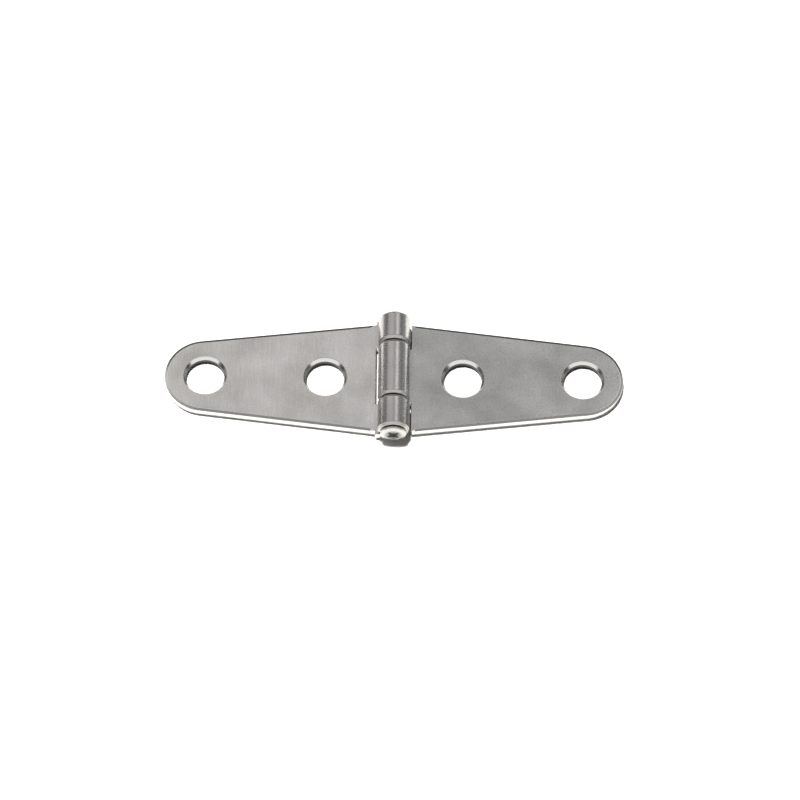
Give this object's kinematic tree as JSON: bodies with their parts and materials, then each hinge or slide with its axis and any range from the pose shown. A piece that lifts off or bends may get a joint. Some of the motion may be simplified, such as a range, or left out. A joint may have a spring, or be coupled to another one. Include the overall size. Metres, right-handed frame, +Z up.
{
  "type": "strap hinge",
  "caption": "Flat strap hinge with two tapered round-tipped leaves, countersunk screw holes and a headed pin in a rolled barrel.",
  "frame": {"origin": "middle of the hinge on its mounting plane, straight under the pin's axis", "axes": "+X from the barrel along the right leaf, +Y along the pin, +Z up out of the mounting plane, on the side where the barrel stands and the screw holes are countersunk"},
  "size_m": [0.102, 0.0306, 0.0071],
  "materials": {
    "satin_stainless": "satin stainless steel sheet, tumbled",
    "polished_stainless": "bright drawn stainless steel wire"
  },
  "bodies": {
    "left_side": {"left_leaf": "satin_stainless", "hinge_pin": "polished_stainless"},
    "right_side": {"right_leaf": "satin_stainless"}
  },
  "joints": [
    {"name": "leaf_swing", "type": "hinge", "parent": "left_side", "child": "right_side", "pos_m": [0, 0, 0.00355], "axis": [0, -1, 0], "range_deg": [-94, 183]}
  ]
}
